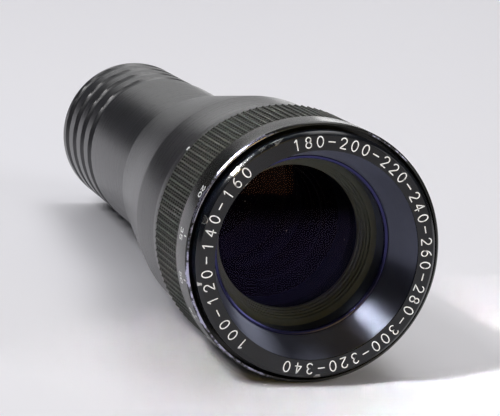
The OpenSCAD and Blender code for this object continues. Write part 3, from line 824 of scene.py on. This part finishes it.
@dataclass
class ZoomRing:
    """The ring that turns the cam: a smooth scale band in front of a ribbed grip."""

    start: float = 176.0
    grip_end: float = 199.7
    end: float = 209.8
    bore: float = 34.56
    grip_seat: float = 36.0
    band_radius: float = 37.85
    bevel: float = 0.6
    mouth_radius: float = 36.85
    mouth: float = 202.0
    nose_radius: float = 34.0
    flange_end: float = 189.3
    flange_start: float = 185.3
    flange_bore: float = 34.44
    ribs: int = 118
    rows: int = 11
    rib_top: float = 37.7
    pit_floor: float = 36.95
    mid_rib_top: float = 37.4
    cross_top: float = 37.4
    numbers: tuple[tuple[str, float, float], ...] = (
        ("20", -62.5, 207.4), ("35", -82.8, 203.4), ("50", -102.0, 203.4),
        ("65", -119.0, 203.4), ("80", -134.0, 203.4),
    )
    number_height: float = 2.3
    # A digit's room as a share of its height.
    number_pitch: float = 0.85
    # A tick stands this far behind the front edge, on numbers that leave it this much room.
    tick_back: float = 3.4
    tick_room: float = 4.0
    tick_length: float = 1.6
    tick_step: float = 0.2
    stroke: float = 0.36

    def build(self, finishes: Finishes) -> None:
        """Builds the ring, its grip and its numerals.

        Args:
            finishes: The materials by name.
        """
        corners = [
            (self.bore, self.start), (self.grip_seat, self.start), (self.grip_seat, self.grip_end),
            (self.band_radius - SKIN, self.grip_end, 0.2),
            (self.band_radius - SKIN, self.end - self.bevel - 0.5),
            (self.band_radius - SKIN, self.end - self.bevel, 0.2, 0.8),
            (self.band_radius - self.bevel, self.end, 0.2, 1.0), (self.mouth_radius, self.end, 0.1, 0.6),
            (self.mouth_radius, self.mouth), (self.nose_radius, self.mouth),
            (self.nose_radius, self.flange_end), (self.flange_bore, self.flange_end),
            (self.flange_bore, self.flange_start), (self.bore, self.flange_start),
        ]
        spots = ((-45.0, 30.0, 0.5), (-100.0, 25.0, 0.4), (-150.0, 30.0, 0.35), (30.0, 20.0, 0.3))
        piece = turned("zoom_collar", corners, spots)
        carry(piece, Body.ZOOM, "ring_anodised", finishes["ring"], "zoom_ring")
        carry(self.grip(), Body.ZOOM, "grip_rubber", finishes["rubber"], "grip_band")
        carry(self.scale(), Body.ZOOM, "name_ring_black", finishes["paint"])

    def grip(self) -> Piece:
        """Builds the grip: the height at a place is the highest of three rows of ribs.

        Tall ribs run along the axis, a low rib runs between each two of them, and low cross ribs run
        round the ring, so that two rows of pits lie between neighbouring tall ribs. The steps round and
        along fall on the ribs' corners, so that flat faces carry the shape.

        Returns:
            The grip, with the attribute "pit".
        """
        # Places round the ring as shares of a pitch, and whether a tall or a low rib stands there.
        pitch = 2 * np.pi / self.ribs
        shares = np.array([-0.16, -0.10, 0.10, 0.16, 0.42, 0.46, 0.54, 0.58])
        tall = np.tile(np.abs(shares) < 0.13, self.ribs)[None, :]
        low = np.tile(np.abs(shares - 0.5) < 0.06, self.ribs)[None, :]
        angle = ((np.arange(self.ribs)[:, None] + shares) * pitch).ravel()[None, :]
        # Places along the ring as shares of a step, and whether a cross rib stands there.
        step = (self.grip_end - self.start) / self.rows
        marks = np.array([0.0, 0.12, 0.2, 0.8, 0.88])
        station = (self.start + (np.arange(self.rows)[:, None] + marks) * step).ravel()
        station = np.append(station, self.grip_end)[:, None]
        cross = np.append(np.tile(np.abs(marks - 0.5) > 0.35, self.rows), True)[:, None]
        floor = self.pit_floor
        height = np.maximum.reduce(
            np.broadcast_arrays(
                floor + (self.rib_top - floor) * tall,
                floor + (self.mid_rib_top - floor) * low,
                floor + (self.cross_top - floor) * cross,
            )
        )
        points = lens_space(height, angle, station)
        inner = lens_space(np.full((2, 1), self.grip_seat), angle, np.array([[self.grip_end], [self.start]]))
        # Painted shade: full in the pits, less on the low ribs and the cross ribs, none on the tall ribs.
        pit = 1.0 - np.maximum.reduce(np.broadcast_arrays(1.0 * tall, 0.75 * low, 0.7 * cross))
        pits = np.concatenate((pit, np.ones_like(inner[..., 0])))
        outline = np.concatenate((station[:, 0], [self.grip_end, self.start]))
        along = np.append(np.abs(np.cumsum(np.diff(outline, prepend=outline[0]))), outline[0])
        return lattice("grip_sleeve", np.concatenate((points, inner)), along, 20.0, pit=pits)

    def scale(self) -> Piece:
        """Lays plain numerals and ticks on the band, with their tops towards the front.

        Returns:
            The numerals as one piece.
        """
        radius = self.band_radius - SKIN + PROUD
        paths: list[Array] = []
        for text, at, station in self.numbers:
            middle = np.array([clock(at) * radius, station])
            for k, character in enumerate(text):
                shift = (k - (len(text) - 1) / 2) * self.number_height * self.number_pitch
                placed = middle + (shift, 0.0)
                paths += [filled_corners(path * self.number_height) + placed for path in GLYPHS[character]]
            if station < self.end - self.tick_room:
                tick = line((0.0, 0.0), (0.0, self.tick_length)) + (middle[0], self.end - self.tick_back)
                paths.append(filled_corners(tick, self.tick_step))

        def on_band(flat: Array) -> Array:
            """Wraps plane points round the band."""
            return lens_space(np.full(len(flat), radius), flat[:, 0] / radius, flat[:, 1])

        return lettering("zoom_scale_numerals", paths, self.stroke, on_band)


@dataclass
class FrontGroup:
    """What slides out at the front: name ring, grooved cone, retaining ring and glasses."""

    face: float = 213.0
    face_inner: float = 30.2
    face_outer: float = 35.6
    face_bevel: float = 0.9
    flange: float = 4.5
    skirt_radius: float = 33.65
    head: float = 196.5
    head_radius: float = 31.4
    cone_top: float = 212.4
    cone_bottom: float = 199.0
    thread_radius: float = 26.55
    ring_bottom: float = 197.4
    ring_inner: float = 25.4
    ring_round: float = 0.35
    thread_gap: float = 0.12
    cell_bore: float = 25.85
    cell_radius: float = 29.6
    cell_end: float = 164.5
    flint_end: float = 175.3
    land: float = 24.4
    front_glass_back: float = 192.9
    spacer_back: float = 185.3
    spacer_rise: float = 2.6
    spacer_steps: int = 5
    spacer_lip: float = 186.25
    spacer_fillet: float = 0.12
    # The crown and the flint meet at 182.3, with cement between them.
    glasses: tuple[Glass, ...] = (
        Glass(
            "front_coated_element", "front_glass", Body.FRONT, 25.8, 25.4, 192.9, 197.4, (2.9, -2.0),
            finish="front_glass", slot="front_coated_glass",
        ),
        Glass("crown_element", "crown_glass", Body.FRONT, 25.8, 24.4, 182.34, 185.3, (3.0, 3.6)),
        Glass("flint_element", "flint_glass", Body.FRONT, 25.8, 24.4, 175.3, 182.26, (-3.6, -1.0)),
    )
    arcs: tuple[tuple[float, float, tuple[int, ...]], ...] = (
        (-140.2, -43.4, (100, 120, 140, 160)),
        (-14.9, 192.8, (180, 200, 220, 240, 260, 280, 300, 320, 340)),
    )
    number_height: float = 3.0
    number_radius: float = 32.7
    stroke: float = 0.34

    def build(self, finishes: Finishes) -> None:
        """Builds every piece of the group.

        Args:
            finishes: The materials by name.
        """
        corners = [
            (self.face_inner, self.face - SKIN, 0.1, 0.6), (self.face_inner + 0.35, self.face - SKIN),
            (self.face_outer - self.face_bevel - 0.45, self.face - SKIN),
            (self.face_outer - self.face_bevel, self.face - SKIN, 0.15, 0.75),
            (self.face_outer, self.face - self.face_bevel - SKIN, 0.15, 0.9),
            (self.face_outer, self.face - self.face_bevel - 0.6),
            (self.face_outer, self.face - self.flange, 0.2), (self.skirt_radius, self.face - self.flange),
            (self.skirt_radius, self.head), (self.head_radius, self.head),
            (self.head_radius, self.cone_top), (self.face_inner, self.cone_top),
        ]
        spots = (
            (-47.0, 3.0, 1.0), (-73.0, 1.8, 0.8), (-103.0, 1.2, 0.7),
            (176.5, 2.2, 0.8), (-130.0, 12.0, 0.3), (-25.0, 16.0, 0.4),
        )
        ring = turned("name_face_ring", corners, spots, least_wear=0.25)
        carry(ring, Body.FRONT, "name_ring_black", finishes["gloss"], "name_ring")
        carry(self.numerals(), Body.FRONT, "name_ring_black", finishes["paint"])
        self.cell(finishes["cone"])
        self.retainer(finishes["violet"])
        self.baffle(finishes["baffle"])
        for glass in self.glasses:
            glass.build(finishes)

    def cell(self, finish: Material) -> None:
        """Builds the cell: the open cone in front, the glasses' bore and the sliding tube behind.

        Args:
            finish: The grooved cone's finish.
        """
        corners = [
            (self.land, self.cell_end), (self.cell_radius, self.cell_end), (self.cell_radius, self.head),
            (self.head_radius, self.head), (self.head_radius, self.cone_top),
            (self.face_inner - 0.05, self.cone_top, 0.15, 0.8),
            (self.thread_radius, self.cone_bottom, 0.2, 0.4), (self.thread_radius, self.ring_bottom),
            (self.cell_bore, self.ring_bottom), (self.cell_bore, self.flint_end),
            (self.land, self.flint_end),
        ]
        piece = turned("front_cone_cell", corners, least_wear=0.35)
        carry(piece, Body.FRONT, "cell_black", finish, "front_cell")

    def retainer(self, finish: Material) -> None:
        """Builds the retaining ring, with a rounded front.

        Args:
            finish: The ring's violet finish.
        """
        outer = self.thread_radius - self.thread_gap
        corners = [
            (self.ring_inner, self.ring_bottom), (outer, self.ring_bottom),
            (outer, self.cone_bottom - 0.15, self.ring_round),
            (self.ring_inner, self.cone_bottom - 0.5, self.ring_round),
        ]
        piece = turned("front_retainer", corners)
        carry(piece, Body.FRONT, "ring_violet", finish, "front_retaining_ring")

    def baffle(self, finish: Material) -> None:
        """Builds the stepped spacer behind the front glass: its bore narrows backwards in even steps.

        Args:
            finish: The baffle's matt finish.
        """
        lip, fillet = self.spacer_lip, self.spacer_fillet
        tread = (self.front_glass_back - lip) / self.spacer_steps
        steps = [
            (self.land - self.spacer_rise * (1 - i / self.spacer_steps), lip + tread * (i + k), fillet)
            for i in range(self.spacer_steps)
            for k in (0, 1)
        ]
        corners = [
            (self.cell_bore, self.front_glass_back), (self.cell_bore, self.spacer_back),
            (self.land, self.spacer_back), (self.land, lip),
            *steps,
        ]
        piece = turned("stepped_baffle", corners)
        carry(piece, Body.FRONT, "inner_black", finish, "front_spacer")

    def numerals(self) -> Piece:
        """Lays a plain number scale on the ring's face, clockwise, with the tops outwards.

        Returns:
            The numerals as one piece.
        """
        radius = self.number_radius
        paths: list[Array] = []
        for start, end, values in self.arcs:
            text = "-".join(str(v) for v in values)
            for character, at in zip(text, np.linspace(start, end, len(text))):
                place = (math.radians(at) * radius, 0.0)
                paths += [filled_corners(path * self.number_height) + place for path in GLYPHS[character]]

        def on_face(flat: Array) -> Array:
            """Bends plane points round the ring's face."""
            face = np.full(len(flat), self.face - SKIN + PROUD)
            return lens_space(radius + flat[:, 1], np.pi / 2 - flat[:, 0] / radius, face)

        return lettering("face_scale_numerals", paths, self.stroke, on_face)


@dataclass
class RearGroup:
    """The rear cell with its retaining ring and glasses, and the inner group's glasses."""

    bore: float = 23.4
    cell_start: float = 12.0
    cell_end: float = 58.0
    cell_bore: float = 20.6
    land: float = 19.15
    second_end: float = 42.3
    ring_start: float = 12.6
    ring_end: float = 14.8
    glasses: tuple[Glass, ...] = (
        Glass("rear_element", "rear_glass", Body.FIXED, 20.55, 19.15, 14.8, 18.8, (1.2, 2.4)),
        Glass("second_rear_element", "second_rear_glass", Body.FIXED, 20.55, 19.15, 37.8, 42.3, (2.2, -1.0)),
        Glass("hollow_element", "hollow_glass", Body.INNER, 21.0, 19.6, 152.9, 160.5, (-2.3, -2.9)),
        Glass("meniscus_element", "meniscus_glass", Body.INNER, 21.0, 19.6, 148.0, 151.0, (2.7, -1.4)),
    )

    def build(self, finishes: Finishes) -> None:
        """Builds the cell, the ring and the glasses.

        Args:
            finishes: The materials by name.
        """
        cell = turned("rear_cell_tube", [
            (self.cell_bore, self.cell_start, 0.3, 0.4), (self.bore, self.cell_start),
            (self.bore, self.cell_end), (self.land, self.cell_end), (self.land, self.second_end),
            (self.cell_bore, self.second_end),
        ])
        carry(cell, Body.FIXED, "inner_black", finishes["inner"], "rear_cell")
        ring = turned("rear_retainer", [
            (self.land, self.ring_start, 0.4, 0.3), (self.cell_bore, self.ring_start),
            (self.cell_bore, self.ring_end), (self.land, self.ring_end),
        ])
        carry(ring, Body.FIXED, "inner_black", finishes["violet"], "rear_retaining_ring")
        for glass in self.glasses:
            glass.build(finishes)


# The finish of every CAD node, whether it keeps its own shape or a piece stands for it.
DRESSED = {
    "barrel": "rear_barrel",
    "body": "body_shell",
    "ring": "zoom_ring",
    "rubber": "grip_band",
    "gloss": "name_ring",
    "cone": "front_cell",
    "violet": "front_retaining_ring",
    "plain": "guide_tube cam_trap_ring",
    "inner": "light_stop rear_spacer inner_cell inner_retaining_ring inner_spacer front_spacer "
    "rear_cell rear_retaining_ring",
    "bronze": "cam_tube",
    "brass": "front_rollers inner_rollers",
    "steel": "drive_screws front_roller_screws inner_roller_screws",
    "front_glass": "front_glass",
    "inner_glass": "crown_glass flint_glass hollow_glass meniscus_glass rear_glass second_rear_glass",
}


def dress_solids(finishes: Finishes) -> None:
    """Assigns each CAD node's finish to its material slots.

    Args:
        finishes: The materials by name.
    """
    for key, nodes in DRESSED.items():
        for node in nodes.split():
            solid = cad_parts[node]
            if not solid.material_slots:
                solid.data.materials.append(finishes[key])
            for slot in solid.material_slots:
                slot.material = finishes[key]
            LOG.info("%s gets %s", node, finishes[key].name)


class Softbox(NamedTuple):
    """A rectangular light: its middle, width and height in metres, watts, and its beam in degrees."""

    name: str
    at: tuple[float, float, float]
    size: tuple[float, float]
    power: float
    colour: str = "#ffffff"
    towards: tuple[float, float, float] = (0.0, -0.1, 0.0)
    beam: float = 180.0

    def hang(self) -> None:
        """Hangs the light.

        Rays that leave a glass don't meet it, which keeps bright grain off the dark inside.
        """
        lamp = bpy.data.lights.new(self.name, "AREA")
        lamp.shape = "RECTANGLE"
        lamp.size, lamp.size_y = self.size
        lamp.energy = self.power
        lamp.spread = math.radians(self.beam)
        lamp.color = linear(self.colour)[:3]
        held = bpy.data.objects.new(self.name, lamp)
        held.visible_transmission = False
        bpy.context.scene.collection.objects.link(held)
        aim = (Vector(self.towards) - Vector(self.at)).to_track_quat("-Z", "Y").to_matrix().to_4x4()
        held.matrix_world = Matrix.Translation(self.at) @ aim


@dataclass
class Studio:
    """The pale sweep that the lens lies on, its lights and the camera."""

    camera_at: tuple[float, float, float] = (-0.21227, -0.70984, 0.1321)
    right: tuple[float, float, float] = (0.954019, -0.294039, 0.05821)
    up: tuple[float, float, float] = (0.0, 0.194199, 0.980962)
    back: tuple[float, float, float] = (-0.299745, -0.935857, 0.18527)
    sensor: float = 36.0
    focal_share: float = 4.6
    floor_colour: str = "#efeef4"
    sky_colour: str = "#ececf1"
    horizon: float = 0.024
    zenith: float = 0.056
    floor_reach: float = 4.0
    floor_cells: int = 40
    ring_contact: float = 0.0008
    barrel_contact: float = 0.0006
    lamps: tuple[Softbox, ...] = (
        Softbox("front_sheet", (0.6, -1.8, 1.6), (1.6, 1.6), 1.5),
        Softbox("overhead", (0.1, 0.9, 2.0), (2.0, 1.6), 13.5),
        Softbox("back_wall", (0.84, 2.53, 0.42), (1.6, 0.8), 1.95),
        Softbox("back_right", (1.5, 2.4, 0.25), (1.2, 0.5), 3.56),
        # Its reflection is the amber patch on the front glass.
        Softbox("warm_lamp", (0.12, -1.65, 0.36), (0.56, 0.44), 1.8, "#ffd75a"),
        Softbox("right_front", (1.8, -1.4, 0.9), (1.0, 1.0), 11.5),
        Softbox("back_high", (0.3, 2.2, 1.3), (1.6, 0.8), 6.0),
        Softbox("bevel_lamp", (-0.93, -0.36, 1.12), (0.5, 0.5), 9.0),
        Softbox("front_top", (0.5, 0.12, 1.9), (1.2, 0.8), 10.0),
        # A narrow beam into the mouth, which draws the bright wedge on the cone.
        Softbox(
            "cone_spot", (-0.93, -0.5, 1.12), (0.1, 0.1), 0.026, towards=(0.012, -0.097, -0.012), beam=3.0
        ),
    )

    def build(self) -> None:
        """Builds the floor, the world, the lights and the camera."""
        self.floor()
        self.world()
        for lamp in self.lamps:
            lamp.hang()
        self.camera()

    def camera(self) -> None:
        """Sets the camera where the photographer stood."""
        lens = bpy.data.cameras.new("photo_camera")
        lens.sensor_width = self.sensor
        lens.lens = self.sensor * self.focal_share
        lens.clip_start = 0.01
        taker = bpy.data.objects.new("photo_camera", lens)
        bpy.context.scene.collection.objects.link(taker)
        turn = Matrix((self.right, self.up, self.back)).transposed().to_4x4()
        taker.matrix_world = Matrix.Translation(self.camera_at) @ turn
        bpy.context.scene.camera = taker

    def floor(self) -> None:
        """Lays a plane that touches the lens below its scale band and below its barrel's rear end."""
        ring_low, barrel_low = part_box("zoom_ring"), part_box("rear_barrel")
        front = Vector((0.0, ring_low[0].y + self.ring_contact, ring_low[0].z))
        rear = Vector((0.0, barrel_low[1].y - self.barrel_contact, barrel_low[0].z))
        slope = (rear.z - front.z) / (rear.y - front.y)
        rows = self.floor_cells + 1
        side = np.linspace(-self.floor_reach, self.floor_reach, rows)
        x, y = np.meshgrid(side, side, indexing="ij")
        points = np.stack((x, y, front.z + slope * (y - front.y)), axis=-1).reshape(-1, 3)
        # The faces that would join the last column to the first are left out.
        faces = quads(rows - 1, rows).reshape(rows - 1, rows, 4)[:, :-1].reshape(-1, 4)
        sweep = mesh_piece("studio_sweep", points, faces[:, [0, 3, 2, 1]])
        made, tree, place = new_finish("paper_sweep")
        links = {
            "Base Color": linear(self.floor_colour),
            "Roughness": 0.6,
            "Normal": embossed(tree, noise(tree, place, 900.0, 3.0), 0.05, 1e-5),
        }
        surfaced(made, links)
        sweep.data.materials.append(made)

    def world(self) -> None:
        """Makes the surroundings: the backdrop's white for the camera, a darker horizon in reflections."""
        world = bpy.data.worlds.new("studio_room")
        bpy.context.scene.world = world
        world.use_nodes = True
        tree = world.node_tree
        tree.nodes.clear()
        camera_ray = add_node(tree, "LightPath").outputs["Is Camera Ray"]
        way = add_node(tree, "TexCoord")
        up = add_node(tree, "SeparateXYZ", {0: way.outputs["Generated"]}).outputs["Z"]
        height = graded(tree, up, -0.2, 0.9, self.horizon, self.zenith)
        room = add_node(tree, "Background", {0: linear(self.sky_colour), 1: height})
        paper = add_node(tree, "Background", {0: linear(self.sky_colour), 1: 1.0})
        seen = add_node(tree, "MixShader", {0: camera_ray, 1: room.outputs[0], 2: paper.outputs[0]})
        add_node(tree, "OutputWorld", {"Surface": seen.outputs[0]})


def finishes() -> Finishes:
    """Makes every finish once.

    Returns:
        The materials by a short name.
    """
    made = {
        # Barrel and body are turned aluminium, anodised black: satin, with faint lathe rings.
        "barrel": TurnedMetal(
            "turned_black_anodised_barrel", "#242427", "#2c2c30", 0.0, 0.3, specular=0.8, worn=True
        ),
        "body": TurnedMetal(
            "turned_black_anodised_body", "#242426", "#2c2c2f", 0.0, 0.31, specular=0.8, worn=True
        ),
        # The zoom ring is smoother, and its rim is worn to a lavender sheen.
        "ring": TurnedMetal(
            "satin_black_anodised_ring", "#141413", "#1b1b19", 0.0, 0.22, bare="#b9b8d2", worn=True
        ),
        # The name ring is polished before it is anodised, so it is glossy.
        "gloss": TurnedMetal(
            "polished_black_anodised_ring", "#0c0e13", "#15181f", 0.0, 0.16, ring_um=0.6, worn=True
        ),
        # The cone keeps its fine lathe grooves, which draw highlights out across them.
        "cone": TurnedMetal(
            "grooved_black_anodised_cone", "#666979", "#6d7080", 1.0, 0.38,
            ring_mm=0.3, ring_um=2.5, grooved=1.0,
        ),
        # The retaining rings are anodised too, and their dye has gone violet.
        "violet": TurnedMetal("violet_black_anodised_ring", "#33335a", "#3b3b66", 0.9, 0.2, ring_um=1.0),
        # The baffle and the tubes inside are matt, to swallow stray light.
        "baffle": TurnedMetal("matt_black_anodised_baffle", "#5b5950", "#66645a", 0.0, 0.5, ring_um=2.0),
        "inner": TurnedMetal(
            "matt_black_anodised_tube", "#070708", "#0c0c0e", 0.0, 0.6, specular=0.15, on_solid=True
        ),
        # The zoom drive: a plain aluminium guide, a bronze cam, brass rollers and steel screws.
        "plain": TurnedMetal("turned_plain_aluminium", "#b9babb", "#a4a5a7", 1.0, 0.3, on_solid=True),
        "bronze": TurnedMetal("turned_greased_bronze", "#a58a55", "#8e7748", 1.0, 0.32, on_solid=True),
        "brass": TurnedMetal("turned_brass", "#cfae5e", "#b99a50", 1.0, 0.28, on_solid=True),
        "steel": TurnedMetal("turned_screw_steel", "#bdbcb8", "#a9a8a4", 1.0, 0.28, on_solid=True),
        # Hard rubber for the grip, and white filler in the engraved marks.
        "rubber": GripRubber(),
        "paint": EngravingPaint("white_engraving_paint", "#ffffff", "#dadad8"),
        # Optical glass: a violet coating in front, an amber one on the glasses inside.
        "front_glass": CoatedGlass("violet_coated_crown_glass", "#8a78d4", ior=1.22, dust=0.5),
        "inner_glass": CoatedGlass("amber_coated_optical_glass", "#b8782c", ior=1.08, body="#ccd4dc"),
    }
    return {key: finish.material() for key, finish in made.items()}


def main() -> None:
    """Builds the lens piece by piece around the frame, then the studio."""
    made = finishes()
    for part in (RearBarrel(), BodyCasing(), ZoomRing(), FrontGroup(), RearGroup()):
        part.build(made)
    dress_solids(made)
    Studio().build()
    bpy.context.scene.view_settings.view_transform = "Standard"


if __name__ == "__main__":
    logging.basicConfig(level=logging.INFO, format="%(name)s: %(message)s")
    main()
